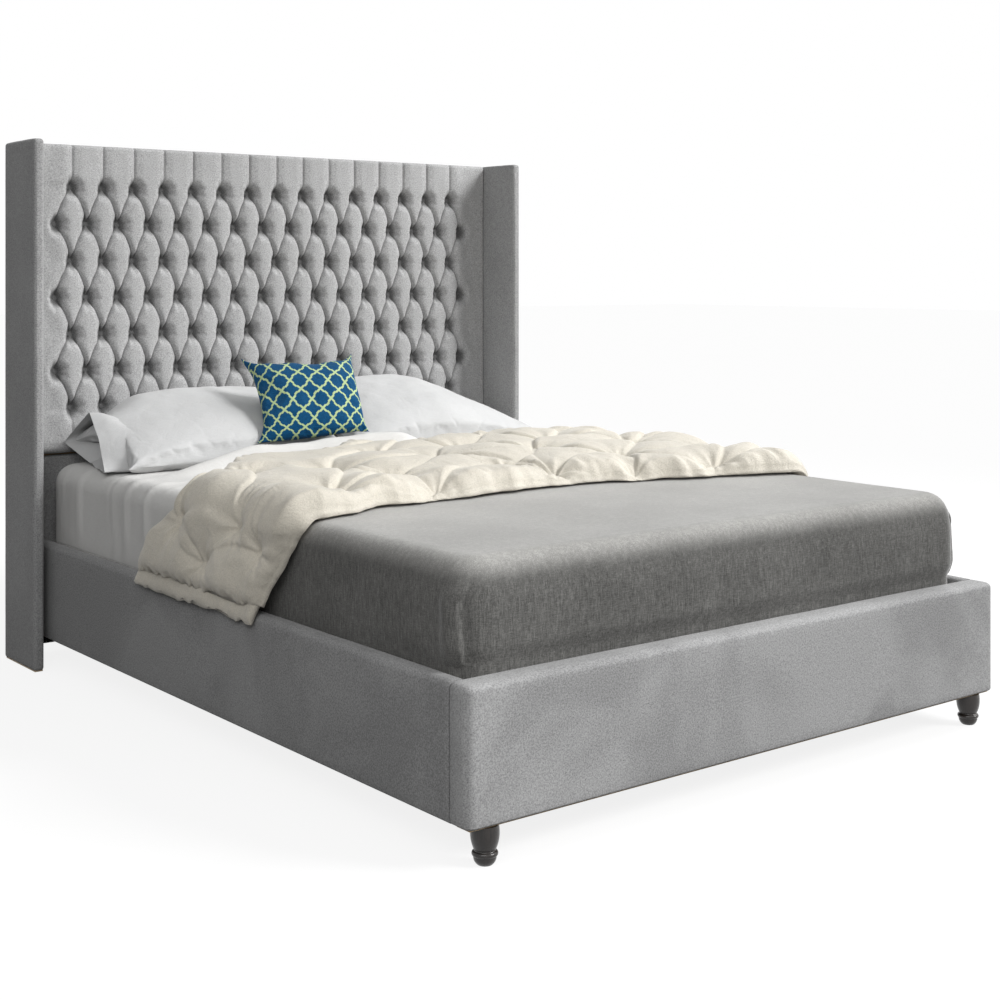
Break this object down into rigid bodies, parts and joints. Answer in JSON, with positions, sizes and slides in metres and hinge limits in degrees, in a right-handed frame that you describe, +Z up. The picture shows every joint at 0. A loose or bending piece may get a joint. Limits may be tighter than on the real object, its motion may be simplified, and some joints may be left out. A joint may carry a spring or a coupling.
{
  "type": "wingback bed",
  "caption": "Upholstered wingback bed with a tall deep-buttoned headboard, low padded rails, slatted base and a dressed mattress.",
  "frame": {"origin": "on the floor, under the middle of the bed's footprint", "axes": "+Z up; +Y along the bed towards the headboard; +X across the bed, to the right when it is seen from its foot"},
  "size_m": [1.706, 2.1276, 1.464],
  "materials": {
    "grey_velvet": "matt",
    "pine": "matt",
    "board": "matt",
    "back_cloth": "matt",
    "zinc_steel": "satin",
    "dark_wood": "satin",
    "black_plastic": "matt",
    "ticking": "matt",
    "white_cotton": "matt",
    "grey_weave": "matt",
    "cream_cotton": "matt",
    "trellis_print": "matt"
  },
  "bodies": {
    "frame": {"bracket_bolts_foot": "zinc_steel", "bracket_bolts_head": "zinc_steel", "centre_leg_glides": "black_plastic", "centre_legs": "zinc_steel", "centre_rail": "pine", "centre_rail_hangers": "zinc_steel", "corner_brackets_foot": "zinc_steel", "corner_brackets_head": "zinc_steel", "foot_hanger_bolts": "zinc_steel", "footboard_board": "pine", "footboard_cover": "grey_velvet", "front_foot_left": "dark_wood", "front_foot_right": "dark_wood", "headboard_back_cloth": "back_cloth", "headboard_bottom_rail": "pine", "headboard_dowels": "pine", "headboard_face_board": "board", "headboard_glides": "black_plastic", "headboard_middle_rail": "pine", "headboard_post_left": "pine", "headboard_post_right": "pine", "headboard_studs": "pine", "headboard_top_rail": "pine", "headboard_tufted_pad": "grey_velvet", "ledger_screws": "zinc_steel", "lower_panel_board": "board", "lower_panel_cover": "grey_velvet", "side_rail_left_board": "pine", "side_rail_left_cover": "grey_velvet", "side_rail_right_board": "pine", "side_rail_right_cover": "grey_velvet", "slat_holders_centre": "black_plastic", "slat_holders_left": "black_plastic", "slat_holders_right": "black_plastic", "slat_ledger_left": "pine", "slat_ledger_right": "pine", "slats_left": "pine", "slats_right": "pine", "tuft_buttons": "grey_velvet", "wing_bolts": "zinc_steel", "wing_inserts": "zinc_steel", "wing_left_board": "board", "wing_left_cover": "grey_velvet", "wing_right_board": "board", "wing_right_cover": "grey_velvet"},
    "mattress_body": {"mattress": "ticking", "white_sheet": "white_cotton", "grey_blanket": "grey_weave"},
    "comforter_body": {"comforter": "cream_cotton"},
    "pillow_left_body": {"pillow_left": "white_cotton"},
    "pillow_right_body": {"pillow_right": "white_cotton"},
    "cushion_body": {"accent_cushion": "trellis_print"}
  },
  "joints": [
    {"name": "mattress_lift", "type": "slide", "parent": "frame", "child": "mattress_body", "axis": [0, 0, 1], "range_m": [0, 0.3]},
    {"name": "comforter_lift", "type": "slide", "parent": "mattress_body", "child": "comforter_body", "axis": [0, 0, 1], "range_m": [0, 0.3]},
    {"name": "pillow_right_lift", "type": "slide", "parent": "mattress_body", "child": "pillow_right_body", "axis": [0, 0, 1], "range_m": [0, 0.25]},
    {"name": "pillow_left_lift", "type": "slide", "parent": "pillow_right_body", "child": "pillow_left_body", "axis": [0, 0, 1], "range_m": [0, 0.25]},
    {"name": "cushion_lift", "type": "slide", "parent": "pillow_left_body", "child": "cushion_body", "axis": [0, 0, 1], "range_m": [0, 0.25]}
  ]
}
